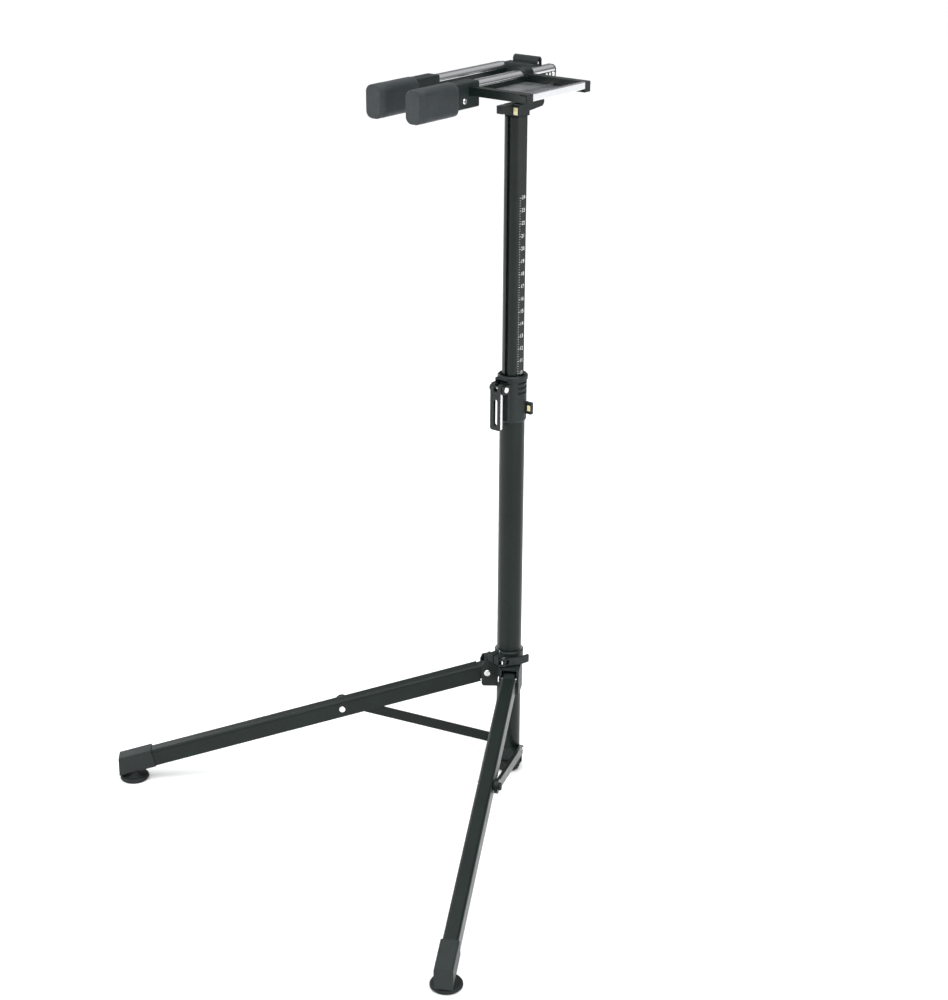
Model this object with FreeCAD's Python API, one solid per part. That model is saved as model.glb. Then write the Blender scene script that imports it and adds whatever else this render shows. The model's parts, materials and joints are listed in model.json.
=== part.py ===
"""Folding bike repair stand: round mast, sliding upper mast, saddle fork head and two folding legs.

Frame: millimetres, +Z up. The origin is on the floor, on the mast's axis. The head's arms point along -Y.
"""
import FreeCAD, Part
import math
import os

V = FreeCAD.Vector
AXIS_X, AXIS_Y = V(1, 0, 0), V(0, 1, 0)

# ---- Driving dimensions -------------------------------------------------------------------------------
FIT = 0.05                    # radial clearance of a running fit
GAP = 0.4                     # clearance between pieces that pass each other

# Lower tube and the foot below it
TUBE_R = 20.2                 # lower tube, outer radius
TUBE_BORE_R = 18.7
TUBE_TOP = 672.0
TUBE_BOTTOM = 44.0
FOOT_PLUG_TOP = 68.0          # the foot's plug reaches this high in the tube
FOOT_PLUG_SCREW_Z = 56.0
SOLE_R = 25.0
SOLE_TOP = 20.0
SOLE_ROUND = 9.0              # rounding of the sole's lower edge
SOLE_FLOOR = 4.0              # rubber under the foot

# Upper mast
MAST_R = 17.3                 # upper profile, radius of its round sides
MAST_FLAT = 14.1              # distance of the two flats from the axis
MAST_BORE_R = 10.5
MAST_BOTTOM = 380.0
MAST_TOP = 1113.0
GROOVE_WIDTH = 6.0
GROOVE_DEPTH = 4.0
GUIDE_R = TUBE_BORE_R - FIT   # guide plug at the profile's lower end

# Height collar and its lever
COLLAR_BOTTOM = 630.0
COLLAR_TOP = 707.0
COLLAR_R = 22.6
COLLAR_RIM_R = 24.2
COLLAR_RIM_HEIGHT = 8.0
HL_PIN_Y = -33.0              # height lever's pivot
HL_PIN_Z = 689.5
HL_X0, HL_X1 = -14.0, 7.0     # height lever, left and right edge
HL_SLOT_R = 3.5
HL_SLOT_Z = (632.0, 669.0)    # centres of the slot's round ends
HL_BOTTOM = 621.0
BOSS_Z = 651.0                # middle of the collar's side boss
GRIP_DEPTH, GRIP_HALF = 2.2, 2.1
HL_THICK = 5.3
HL_PIN_R = 3.0

# Base: the legs' collar, the legs and their braces. Each leg lies in a vertical plane beside the mast's axis.
BASE_TURN = -9.5              # degrees that the base is turned from the head, seen from above
LEG_HALF_SPREAD = 37.9        # degrees of each leg from the base's centre line
LEG_OFFSET = 6.8              # distance of a leg's middle plane from the mast's axis, outwards
LEG_PIVOT_R = 37.0
LEG_PIVOT_Z = 184.0
LEG_SLOPE = 14.2              # degrees below level
LEG_W = 24.0
LEG_H = 28.7
LEG_WALL = 2.0
LEG_START = 14.0              # along the leg from its pivot
LEG_END = 586.0
LEG_PIN_R = 4.0
CLEVIS_GAP = LEG_W + 1.2
CLEVIS_T = 4.0
PIN_COVER = 1.2               # plastic left over the blind end of a leg pin
FOOT_R = 24.0
FOOT_REACH = 633.0
FOOT_STEM_R = 5.0             # push-in stem of the rubber foot
BRACE_R = 280.5               # brace's upper pivot
BRACE_Z = 122.6
BRACE_BASE_R = 5.0            # brace's lower pivot, at the side of the mast's foot
BRACE_BASE_Z = 36.6
BRACE_H = 15.5
BRACE_T = 6.0
BRACE_SPACE = 1.8             # washer between the leg and its brace
BRACE_OFFSET = LEG_W / 2 + BRACE_SPACE + BRACE_T / 2
BRACE_EYE_R = 11.5            # enlarged upper end
BRACE_PIN_R = 3.0
BRACE_SIDE = BRACE_OFFSET - BRACE_T / 2 - GAP      # the foot stays clear of the brace beyond this
PIN_SLOT_FLARE = 3.0          # the pin's slot widens by this at the floor, as the folding pin moves outwards

LC_BOTTOM = 158.0             # leg collar
LC_TOP = 226.0
LC_R = 23.7
LC_BORE_R = TUBE_R + 1.4
QR_Z = 215.0                  # quick-release skewer above the leg pivots
QR_RADIAL = 30.0
QR_PIVOT_T = 19.0
QR_R = 2.5
QR_PIN_R = 2.0
QR_BLADE_R = 60.0             # the blade is nearly straight
QR_BLADE_CENTRE = (-23.5, 14.3)
QR_BLADE_T = 4.0
QR_BLADE_SPAN = (39.0, 81.3)  # azimuths of its two ends from its own centre
SCREW_R = 2.0                 # M4 button screws
SCREW_HEAD_R = 3.6
SCREW_HEAD_H = 2.0

# Head: two arms along Y that hold a bike by its saddle, and a tray frame beside them
ARM_FIXED_X = -52.0
ARM_MOVING_X = -127.5
RAIL_W = 22.0
RAIL_TOP = 1165.0
RAIL_SPLIT = 1156.0           # the bright rail lies on the black channel here
RAIL_BOTTOM = 1147.5
HOLLOW_END = 112.0            # behind this the channels are solid
ARM_FRONT = -91.0
ARM_REAR = 156.0
PAD_FRONT, PAD_REAR = -181.0, -91.0
PAD_W, PAD_H = 29.5, 50.0
PAD_Z = 1143.8
PAD_FLOOR = 4.0               # rubber thickness at a pad's closed end
CORE_W, CORE_H = 20.0, 35.0
NECK_HALF = 12.4              # half the width of the holder's neck behind the pad
NECK_BOTTOM = 1127.5
NECK_END = -40.0
PAD_BOLT_Y, PAD_BOLT_Z = -76.0, 1140.0
PAD_BOLT_R = 2.5
FRAME_TOP = 1160.0
FRAME_BOTTOM = 1147.0
FRAME_RIGHT = 69.0
BAR_FRONT_Y = (-65.0, -52.0)
BAR_REAR_Y = (80.0, 94.0)
SIDE_BAR_W = 7.0
FLOOR_T = 2.0
STRAP_OVERHANG = 2.0          # the strap over the fixed arm is this much wider than the rear bar, each way
STRAP_WALL = 3.0
FLOOR_SPLIT_X = 12.0
ROD_R = 3.0                   # the moving arm slides on two rods
ROD_YS = (134.0, 143.0)
ROD_Z = 1151.7
BLOCK_X = (-122.5, -64.5)     # block that runs on the rods
BLOCK_Y = (129.0, 148.0)
BLOCK_Z = (1136.0, 1165.2)
FLANGE_TOP = 1162.0           # flange of the block behind the moving arm
ARM_SCREW_Z = 1159.2
JL_X = (-116.0, -69.0)        # arm lock lever
JL_PIVOT_Y = 152.5
JL_PIVOT_Z = 1165.0
JL_DROP = 11.0                # the lever's side walls reach this far below its pivot
JL_RELIEF_R = 13.0            # room for them in the block as the lever turns
JL_R = 6.5
JL_WALL = 2.5
JL_PIN_R = 2.0

NODES = {}
TUBE_SCREWS = []              # screws that hold the collar and the brace bracket on the lower tube
FRAME_SCREWS = []             # screws of the tray frame and the fixed arm


# ---- Helpers ------------------------------------------------------------------------------------------
def box(x0, x1, y0, y1, z0, z1):
    return Part.makeBox(x1 - x0, y1 - y0, z1 - z0, V(x0, y0, z0))


def cyl_x(radius, x0, x1, y, z):
    return Part.makeCylinder(radius, x1 - x0, V(x0, y, z), V(1, 0, 0))


def cyl_y(radius, y0, y1, x, z):
    return Part.makeCylinder(radius, y1 - y0, V(x, y0, z), V(0, 1, 0))


def cyl_z(radius, z0, z1, x=0.0, y=0.0):
    return Part.makeCylinder(radius, z1 - z0, V(x, y, z0), V(0, 0, 1))


def tube_z(outer, inner, z0, z1):
    return cyl_z(outer, z0, z1).cut(cyl_z(inner, z0, z1))


def prism_x(outline, x0, x1):
    """A solid with an outline of (y, z) points, from x0 to x1."""
    points = [V(x0, y, z) for y, z in outline]
    return Part.Face(Part.makePolygon(points + points[:1])).extrude(V(x1 - x0, 0, 0))


def prism_y(outline, y0, y1):
    """A solid with an outline of (x, z) points, from y0 to y1."""
    points = [V(x, y0, z) for x, z in outline]
    return Part.Face(Part.makePolygon(points + points[:1])).extrude(V(0, y1 - y0, 0))


def edges_along(shape, axis, above=None):
    """The straight edges that run along an axis, only those above a height if one is given."""
    return [e for e in shape.Edges if abs(e.tangentAt(e.FirstParameter).dot(axis)) > 0.99
            and (above is None or e.CenterOfMass.z > above)]


def rounded_bar_y(x0, x1, z0, z1, y0, y1, radius):
    """A bar along Y whose four long edges are rounded."""
    bar = box(x0, x1, y0, y1, z0, z1)
    long_edges = edges_along(bar, AXIS_Y)
    return bar.makeFillet(radius, long_edges)


def revolve(outline):
    """A solid turned about Z from (radius, z) points."""
    points = [V(r, 0, z) for r, z in outline]
    return Part.Face(Part.makePolygon(points + points[:1])).revolve(V(0, 0, 0), V(0, 0, 1), 360)


def fuse(shapes):
    return shapes[0].multiFuse(shapes[1:]).removeSplitter()


def group(shapes):
    return Part.makeCompound(shapes)


def button_head(radius, height, base, direction):
    """A low domed screw head that stands on base and points along direction."""
    head = Part.makeCylinder(radius, height, base, direction)
    far = [e for e in head.Edges if e.Length > 1.9 * math.pi * radius
           and (e.CenterOfMass - base).dot(direction) > height / 2]
    return head.makeFillet(height * 0.6, far)


def screw_head(base, direction):
    return button_head(SCREW_HEAD_R, SCREW_HEAD_H, base, direction)


def azimuth_vector(azimuth):
    """Level direction at an azimuth in degrees: 0 is -Y and 90 is +X."""
    a = math.radians(azimuth)
    return V(math.sin(a), -math.cos(a), 0)


def turn_to(shape, azimuth):
    """Turn a shape that was drawn along +X to point along an azimuth."""
    turned = shape.copy()
    turned.rotate(V(0, 0, 0), V(0, 0, 1), azimuth - 90)
    return turned


def prism_sector(azimuth0, azimuth1, radius, z0, z1):
    """A wedge of a disc between two azimuths less than 180 degrees apart."""
    middle = azimuth_vector((azimuth0 + azimuth1) / 2) * (2 * radius)
    points = [V(0, 0, z0), azimuth_vector(azimuth0) * (2 * radius) + V(0, 0, z0), middle + V(0, 0, z0),
              azimuth_vector(azimuth1) * (2 * radius) + V(0, 0, z0)]
    return Part.Face(Part.makePolygon(points + points[:1])).extrude(V(0, 0, z1 - z0))


def leg_azimuths():
    return {"left": BASE_TURN - LEG_HALF_SPREAD, "right": BASE_TURN + LEG_HALF_SPREAD}


def on_side(shape, side):
    """Place a shape that was drawn for a leg along +X in the plane y = 0, with its outer face towards +Y."""
    placed = shape.copy()
    placed.translate(V(0, LEG_OFFSET, 0))
    if side == "left":
        placed = placed.mirror(V(0, 0, 0), V(0, 1, 0))
    return turn_to(placed, leg_azimuths()[side])


def add(name, shape):
    NODES[name] = shape


# ---- Mast: lower tube and foot ------------------------------------------------------------------------
def brace_clearance(side):
    """The space beside the foot that a brace and its pin pass through."""
    beside = box(BRACE_BASE_R - BRACE_H / 2 - 5, 80, BRACE_SIDE, BRACE_SIDE + 30, -1, BRACE_BASE_Z + BRACE_H)
    slot_r = BRACE_PIN_R + GAP
    slot_y0, slot_y1 = BRACE_SIDE - 9, BRACE_SIDE + 1
    flare = [(BRACE_BASE_R - slot_r, -1), (BRACE_BASE_R + slot_r + PIN_SLOT_FLARE, -1),
             (BRACE_BASE_R + slot_r, BRACE_BASE_Z), (BRACE_BASE_R - slot_r, BRACE_BASE_Z)]
    round_end = cyl_y(slot_r, slot_y0, slot_y1, BRACE_BASE_R, BRACE_BASE_Z)
    slot = fuse([round_end, prism_y(flare, slot_y0, slot_y1)])
    return on_side(beside.fuse(slot), side)


def make_mast_base():
    tube = tube_z(TUBE_R, TUBE_BORE_R, TUBE_BOTTOM, TUBE_TOP)
    foot = fuse([cyl_z(TUBE_R, SOLE_FLOOR, TUBE_BOTTOM), cyl_z(TUBE_BORE_R, TUBE_BOTTOM, FOOT_PLUG_TOP)])
    disc = cyl_z(SOLE_R, 0, SOLE_TOP)
    lower_edge = [e for e in disc.Edges if e.CenterOfMass.z < 1]
    sole = disc.makeFillet(SOLE_ROUND, lower_edge).cut(cyl_z(TUBE_R, SOLE_FLOOR, SOLE_TOP))
    for side in leg_azimuths():
        clearance = brace_clearance(side)
        foot = foot.cut(clearance)
        sole = sole.cut(clearance)
        tube = tube.cut(clearance)
    screw_r0, screw_r1 = TUBE_BORE_R - 8, TUBE_R
    shank = cyl_x(SCREW_R, screw_r0, screw_r1, 0, FOOT_PLUG_SCREW_Z)
    head = screw_head(V(screw_r1, 0, FOOT_PLUG_SCREW_Z), V(1, 0, 0))
    behind = BASE_TURN + 180
    add("lower_tube", tube.cut(turn_to(shank, behind)))
    add("mast_foot_plug", foot.cut(turn_to(shank, behind)))
    add("mast_foot_sole", sole)
    TUBE_SCREWS.append(turn_to(fuse([shank, head]), behind))


# ---- Upper mast ---------------------------------------------------------------------------------------
def make_upper_mast():
    profile = cyl_z(MAST_R, MAST_BOTTOM, MAST_TOP).cut(cyl_z(MAST_BORE_R, MAST_BOTTOM, MAST_TOP))
    for side in (-1, 1):
        flat = box(MAST_FLAT, MAST_R + 1, -MAST_R, MAST_R, MAST_BOTTOM, MAST_TOP)
        groove = box(-GROOVE_WIDTH / 2, GROOVE_WIDTH / 2, -MAST_R - 1, -MAST_R + GROOVE_DEPTH,
                     MAST_BOTTOM, MAST_TOP)
        if side < 0:
            flat.rotate(V(0, 0, 0), V(0, 0, 1), 180)
            groove.rotate(V(0, 0, 0), V(0, 0, 1), 180)
        profile = profile.cut(flat).cut(groove)
    add("upper_mast_profile", profile)

    guide_height = 30.0
    spigot = cyl_z(MAST_BORE_R, MAST_BOTTOM, MAST_BOTTOM + guide_height)
    guide = cyl_z(GUIDE_R, MAST_BOTTOM - guide_height, MAST_BOTTOM)
    add("mast_guide_plug", fuse([guide, spigot]).cut(cyl_z(5, MAST_BOTTOM - 40, MAST_BOTTOM + 40)))

    bush_inner = MAST_R + FIT
    bush = tube_z(TUBE_BORE_R, bush_inner, TUBE_TOP - 32, TUBE_TOP)
    flange = tube_z(TUBE_R, bush_inner, TUBE_TOP, TUBE_TOP + 3)
    add("mast_bush", fuse([bush, flange]))


# ---- Height collar on top of the lower tube -----------------------------------------------------------
def make_height_collar():
    rim_bottom = COLLAR_TOP - COLLAR_RIM_HEIGHT
    outer = revolve([(0, COLLAR_BOTTOM), (TUBE_R + 1, COLLAR_BOTTOM), (COLLAR_R, COLLAR_BOTTOM + 3),
                     (COLLAR_R, rim_bottom - 1.5), (COLLAR_RIM_R, rim_bottom), (COLLAR_RIM_R, COLLAR_TOP - 2),
                     (COLLAR_RIM_R - 2, COLLAR_TOP), (0, COLLAR_TOP)])
    lug_y = (HL_PIN_Y - 6.0, -15.0)
    right_lug = fuse([box(HL_X1 + 1, HL_X1 + 5, lug_y[0], lug_y[1], HL_PIN_Z - 8, HL_PIN_Z + 6),
                      box(HL_X1 + 1, HL_X1 + 5, -28.0, lug_y[1], COLLAR_BOTTOM + 6, HL_PIN_Z - 8)])
    left_lug = fuse([box(HL_X0 - 3, HL_X0 - 1, HL_PIN_Y, -10.0, HL_PIN_Z - 8, HL_PIN_Z + 7),
                     cyl_x(5.5, HL_X0 - 3, HL_X0 - 1, HL_PIN_Y, HL_PIN_Z)])
    boss = box(12, 31, 8, 14, BOSS_Z - 9.5, BOSS_Z + 9.5)
    bridge = box(HL_X0 - 2, HL_X1 + 5, -24.5, -15.0, HL_PIN_Z + 7, COLLAR_TOP - 4)
    collar = fuse([outer, right_lug, left_lug, boss, bridge])
    collar = collar.cut(cyl_z(TUBE_R, COLLAR_BOTTOM, TUBE_TOP + 3))
    collar = collar.cut(cyl_z(MAST_R + 0.8, TUBE_TOP, COLLAR_TOP))
    funnel = Part.makeCone(MAST_R + 0.8, COLLAR_RIM_R - 2.6, 4, V(0, 0, COLLAR_TOP - 4))
    collar = collar.cut(funnel)
    # Window for the lever's cam and the clamp shoe
    collar = collar.cut(box(HL_X0 - 0.6, HL_X1 + 0.6, HL_PIN_Y - 12, -16.5, 676, HL_PIN_Z + 10.6))
    # Grip grooves on the right-hand side
    for groove_z in (679.5, 687.8, 696.0):
        groove = tube_z(COLLAR_R + 3, COLLAR_R - GRIP_DEPTH, groove_z - GRIP_HALF, groove_z + GRIP_HALF)
        wedge = prism_sector(58, 125, COLLAR_R + 6, groove_z - 2, groove_z + 2)
        collar = collar.cut(groove.common(wedge))
    pin_hole = cyl_x(HL_PIN_R, HL_X0 - 8, HL_X1 + 8, HL_PIN_Y, HL_PIN_Z)
    collar = collar.cut(pin_hole)
    screws = []
    for azimuth in (150, 210):
        hole = turn_to(cyl_x(SCREW_R, TUBE_BORE_R + 0.2, COLLAR_R + 2, 0, 650), azimuth)
        head_seat = turn_to(cyl_x(SCREW_HEAD_R + 0.2, COLLAR_R - 1.4, COLLAR_R + 2, 0, 650), azimuth)
        collar = collar.cut(hole).cut(head_seat)
        NODES["lower_tube"] = NODES["lower_tube"].cut(hole)
        shank = cyl_x(SCREW_R, TUBE_BORE_R + 0.2, COLLAR_R - 1.4, 0, 650)
        head = screw_head(V(COLLAR_R - 1.4, 0, 650), V(1, 0, 0))
        screws.append(turn_to(fuse([shank, head]), azimuth))
    insert = box(24, 29.5, 7.2, 8, BOSS_Z - 4, BOSS_Z + 5)
    add("height_collar", collar)
    TUBE_SCREWS.extend(screws)
    add("collar_index_plate", insert)

    shoe = box(-8, HL_X1 - 0.2, -21.6, -MAST_R + 0.8, 680, 696).cut(cyl_z(MAST_R + GAP, 679, 697))
    key = box(-2.5, 2.5, -20, -MAST_R + GROOVE_DEPTH - 1.0, 681, 695)
    add("clamp_shoe", fuse([shoe, key]))


def make_height_lever():
    outer_y = HL_PIN_Y - 1.7 - HL_THICK
    plate = box(HL_X0, HL_X1, outer_y, HL_PIN_Y - 1.7, HL_BOTTOM, HL_PIN_Z + 4)
    plate = plate.makeFillet(4.0, edges_along(plate, AXIS_Y))
    cam = cyl_x(7.6, HL_X0, HL_X1, HL_PIN_Y, HL_PIN_Z)
    centre_x = (HL_X0 + HL_X1) / 2
    z0, z1 = HL_SLOT_Z
    slot = fuse([box(centre_x - HL_SLOT_R, centre_x + HL_SLOT_R, outer_y - 1, HL_PIN_Y + 1, z0, z1),
                 cyl_y(HL_SLOT_R, outer_y - 1, HL_PIN_Y + 1, centre_x, z0),
                 cyl_y(HL_SLOT_R, outer_y - 1, HL_PIN_Y + 1, centre_x, z1)])
    lever = fuse([plate, cam]).cut(slot)
    notch = box(centre_x - 3.5, centre_x + 3.5, HL_PIN_Y - 12, HL_PIN_Y + 12, HL_PIN_Z - 4, HL_PIN_Z + 12)
    lever = lever.cut(notch)
    lever = lever.cut(cyl_x(HL_PIN_R + FIT, HL_X0 - 1, HL_X1 + 1, HL_PIN_Y, HL_PIN_Z))
    add("height_lever", lever)

    shaft = cyl_x(HL_PIN_R, HL_X0 - 3, HL_X1 + 5, HL_PIN_Y, HL_PIN_Z)
    head = button_head(5.0, 2.2, V(HL_X1 + 5, HL_PIN_Y, HL_PIN_Z), V(1, 0, 0))
    add("height_lever_pin", fuse([shaft, head]))


# ---- Base: leg collar and quick release ---------------------------------------------------------------
def clevis(inner_gap, plate_t, outline):
    """Two side plates with a (radius, z) outline, drawn along +X."""
    plates = []
    for side in (-1, 1):
        y0 = side * inner_gap / 2
        y1 = side * (inner_gap / 2 + plate_t)
        plates.append(prism_y(outline, min(y0, y1), max(y0, y1)))
    return plates


def make_leg_collar():
    waist_r = LC_R - 1.5
    body = revolve([(LC_BORE_R, LC_BOTTOM), (waist_r, LC_BOTTOM), (waist_r, LC_TOP - 24), (LC_R, LC_TOP - 22),
                    (LC_R, LC_TOP - 1.5), (waist_r, LC_TOP), (LC_BORE_R, LC_TOP)])
    half_gap = CLEVIS_GAP / 2
    top = LEG_PIVOT_Z + 22
    outline = [(4.0, LC_BOTTOM), (LEG_PIVOT_R + 7, LC_BOTTOM + 2), (LEG_PIVOT_R + 9.5, LC_BOTTOM + 6),
               (LEG_PIVOT_R + 9.5, LEG_PIVOT_Z + 12), (LEG_PIVOT_R + 6, LEG_PIVOT_Z + 20),
               (LEG_PIVOT_R - 4, top), (4.0, top)]
    parts = [body]
    for side in leg_azimuths():
        parts += [on_side(plate, side) for plate in clevis(CLEVIS_GAP, CLEVIS_T, outline)]
        web = box(4.0, LEG_PIVOT_R + 3, -half_gap, half_gap, LEG_PIVOT_Z + 17, top)
        parts.append(on_side(web, side))
    ear = box(LC_BORE_R, QR_RADIAL + 6, -12, 12, QR_Z - 7, QR_Z + 7)
    parts.append(turn_to(ear, BASE_TURN))
    collar = fuse(parts)
    # Keep the sliding bore and the leg spaces free
    collar = collar.cut(cyl_z(LC_BORE_R, LC_BOTTOM - 1, LC_TOP + 1))
    split = box(LC_BORE_R - 3, QR_RADIAL + 10, -1.5, 1.5, QR_Z - 13, LC_TOP + 1)
    collar = collar.cut(turn_to(split, BASE_TURN))
    inner_wall = cyl_z(waist_r, LC_BOTTOM - 1, LC_TOP)
    space_r = (LEG_PIVOT_R - 15.4, LEG_PIVOT_R + 30)
    for side in leg_azimuths():
        space = box(space_r[0], space_r[1], -half_gap, half_gap, LC_BOTTOM - 1, LEG_PIVOT_Z + 17)
        collar = collar.cut(on_side(space, side).cut(inner_wall))
        pin_hole = cyl_y(LEG_PIN_R, -20, half_gap + CLEVIS_T - PIN_COVER, LEG_PIVOT_R, LEG_PIVOT_Z)
        collar = collar.cut(on_side(pin_hole, side))
    skewer_hole = cyl_y(QR_R, -20, 20, QR_RADIAL, QR_Z)
    collar = collar.cut(turn_to(skewer_hole, BASE_TURN))
    add("leg_collar", collar)

    liner = tube_z(LC_BORE_R, TUBE_R + FIT, LC_BOTTOM + 1, LC_TOP - 1)
    add("leg_collar_liner", liner)

    # Each leg pin has its head on the inner side and ends in a blind hole on the outer side
    half = half_gap + CLEVIS_T
    shaft = cyl_y(LEG_PIN_R, -half, half - PIN_COVER, LEG_PIVOT_R, LEG_PIVOT_Z)
    head = button_head(5.6, 2.6, V(LEG_PIVOT_R, -half, LEG_PIVOT_Z), V(0, -1, 0))
    add("leg_pins", group([on_side(fuse([shaft, head]), side) for side in leg_azimuths()]))

    cross_hole = cyl_z(QR_PIN_R, QR_Z - 10, QR_Z + 10, QR_RADIAL, QR_PIVOT_T)
    skewer = cyl_y(QR_R, -16, QR_PIVOT_T + 3, QR_RADIAL, QR_Z)
    barrel = cyl_z(4.6, QR_Z - 3.2, QR_Z + 3.2, QR_RADIAL, QR_PIVOT_T)
    add("qr_skewer", turn_to(fuse([skewer, barrel]).cut(cross_hole), BASE_TURN))
    nut = cyl_y(6.0, -18, -12, QR_RADIAL, QR_Z).cut(cyl_y(QR_R, -16, -10, QR_RADIAL, QR_Z))
    add("qr_nut", turn_to(nut, BASE_TURN))
    pin = cyl_z(QR_PIN_R, QR_Z - 8.5, QR_Z + 8.5, QR_RADIAL, QR_PIVOT_T)
    add("qr_lever_pin", turn_to(pin, BASE_TURN))


def make_qr_lever():
    """A gently curved blade beside the collar, on a forked cam head."""
    z0, z1 = QR_Z - 6.5, QR_Z + 6.5
    blade = tube_z(QR_BLADE_R + QR_BLADE_T / 2, QR_BLADE_R - QR_BLADE_T / 2, z0, z1)
    blade = blade.common(prism_sector(QR_BLADE_SPAN[0], QR_BLADE_SPAN[1], QR_BLADE_R + 5, z0 - 1, z1 + 1))
    blade.translate(V(QR_BLADE_CENTRE[0], QR_BLADE_CENTRE[1], 0))
    head = turn_to(cyl_z(6.4, z0, z1, QR_RADIAL, QR_PIVOT_T), BASE_TURN)
    fork_gap = cyl_z(10.5, QR_Z - 3.8, QR_Z + 3.8, QR_RADIAL - 2.5, QR_PIVOT_T - 3.5)
    lever = fuse([blade, head]).cut(turn_to(fork_gap, BASE_TURN))
    pin_hole = cyl_z(QR_PIN_R + FIT, z0 - 2, z1 + 2, QR_RADIAL, QR_PIVOT_T)
    add("qr_lever", lever.cut(turn_to(pin_hole, BASE_TURN)))


# ---- Legs and braces, drawn along +X and put on their side --------------------------------------------
def along_leg(shape):
    """Move a shape from the leg's own frame (pivot at the origin, leg along +X) to its place."""
    placed = shape.copy()
    placed.rotate(V(0, 0, 0), V(0, 1, 0), LEG_SLOPE)
    placed.translate(V(LEG_PIVOT_R, 0, LEG_PIVOT_Z))
    return placed


def leg_channel():
    """Channel that is open underneath, with rounded upper edges."""
    half_w, half_h, r = LEG_W / 2, LEG_H / 2, 5.0
    bar = box(LEG_START, LEG_END, -half_w, half_w, -half_h, half_h)
    top_edges = edges_along(bar, AXIS_X, 0)
    bar = bar.makeFillet(r, top_edges)
    inner_w = half_w - LEG_WALL
    inner = box(LEG_START - 1, LEG_END + 1, -inner_w, inner_w, -half_h - 1, half_h - LEG_WALL)
    inner_top = edges_along(inner, AXIS_X, 0)
    inner = inner.makeFillet(r - LEG_WALL, inner_top)
    return along_leg(bar.cut(inner))


def make_leg(side):
    half_w, half_h = LEG_W / 2, LEG_H / 2
    inner_half = half_w - LEG_WALL
    channel = leg_channel()
    brace_hole = cyl_y(BRACE_PIN_R, -half_w - 1, half_w + 1, BRACE_R, BRACE_Z)
    add("leg_channel_" + side, on_side(channel.cut(brace_hole), side))

    # Knuckle: solid end that turns on the leg pin
    tongue = box(0, 70, -inner_half, inner_half, -half_h + 3, half_h - LEG_WALL)
    top = edges_along(tongue, AXIS_X, 0)
    tongue = tongue.makeFillet(3.0, top)
    eye = cyl_y(half_h - 3, -inner_half, inner_half, 0, 0)
    knuckle = fuse([tongue, eye]).cut(cyl_y(LEG_PIN_R + FIT, -20, 20, 0, 0))
    add("leg_knuckle_" + side, on_side(along_leg(knuckle), side))

    # End cap with a level end and a socket for the foot's stud
    cap = box(LEG_END - 6, 660, -half_w - 2, half_w + 2, -half_h - 1.8, half_h + 1.8)
    long_edges = edges_along(cap, AXIS_X)
    cap = cap.makeFillet(3.0, long_edges)
    socket = box(LEG_END - 7, LEG_END, -half_w, half_w, -half_h, half_h)
    socket_top = edges_along(socket, AXIS_X, 0)
    socket = socket.makeFillet(5.0, socket_top)
    plug = box(LEG_END - 30, LEG_END, -inner_half, inner_half, -half_h + 1, half_h - LEG_WALL)
    plug_top = edges_along(plug, AXIS_X, 0)
    plug = plug.makeFillet(3.0, plug_top)
    cap = along_leg(fuse([cap.cut(socket), plug]))
    cap = cap.cut(box(657, 720, -40, 40, -40, 120))
    cap = cap.cut(cyl_z(FOOT_STEM_R, -10, 36, FOOT_REACH, 0)).cut(cyl_z(11.0, -10, 16.0, FOOT_REACH, 0))
    add("leg_cap_" + side, on_side(cap, side))

    foot = revolve([(0, 0), (21.5, 0), (FOOT_R, 2.5), (FOOT_R, 5.0), (22.0, 7.5), (17.0, 8.6), (12.5, 11.0),
                    (10.5, 14.5), (10.0, 16.0), (FOOT_STEM_R, 16.0), (FOOT_STEM_R, 36.0), (0, 36.0)])
    foot.translate(V(FOOT_REACH, 0, 0))
    add("leg_foot_" + side, on_side(foot, side))


def make_brace(side):
    """Flat bar on the leg's outer side, with its two pins."""
    dx, dz = BRACE_BASE_R - BRACE_R, BRACE_BASE_Z - BRACE_Z
    length = math.hypot(dx, dz)
    slope = math.degrees(math.atan2(-dz, -dx))
    half_h = BRACE_H / 2
    inner, outer = BRACE_OFFSET - BRACE_T / 2, BRACE_OFFSET + BRACE_T / 2
    bar = fuse([box(0, length, inner, outer, -half_h, half_h), cyl_y(half_h, inner, outer, 0, 0),
                cyl_y(BRACE_EYE_R, inner, outer, length, 0)])
    bar = bar.cut(cyl_y(BRACE_PIN_R + FIT, inner - 1, outer + 1, length, 0))
    bar = bar.cut(cyl_y(BRACE_PIN_R, inner - 1, outer + 1, 0, 0))
    bar.rotate(V(0, 0, 0), V(0, 1, 0), -slope)
    bar.translate(V(BRACE_BASE_R, 0, BRACE_BASE_Z))
    add("brace_" + side, on_side(bar, side))

    # Upper pin through the leg and the brace, with a spacer between them
    half_w = LEG_W / 2
    end = outer + GAP + 3.0
    upper = fuse([cyl_y(BRACE_PIN_R, -half_w, end, BRACE_R, BRACE_Z),
                  button_head(5.4, 2.6, V(BRACE_R, -half_w, BRACE_Z), V(0, -1, 0))])
    add("brace_upper_pin_" + side, on_side(upper, side))
    spacer = cyl_y(7.0, half_w, inner - GAP, BRACE_R, BRACE_Z).cut(upper)
    nut = button_head(6.4, 4.4, V(BRACE_R, outer + GAP, BRACE_Z), V(0, 1, 0)).cut(upper)
    add("brace_nut_" + side, group([on_side(spacer, side), on_side(nut, side)]))

    lower = fuse([cyl_y(BRACE_PIN_R, inner - 8, outer, BRACE_BASE_R, BRACE_BASE_Z),
                  button_head(5.6, 2.6, V(BRACE_BASE_R, outer, BRACE_BASE_Z), V(0, 1, 0))])
    add("brace_lower_pin_" + side, on_side(lower, side))


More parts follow.
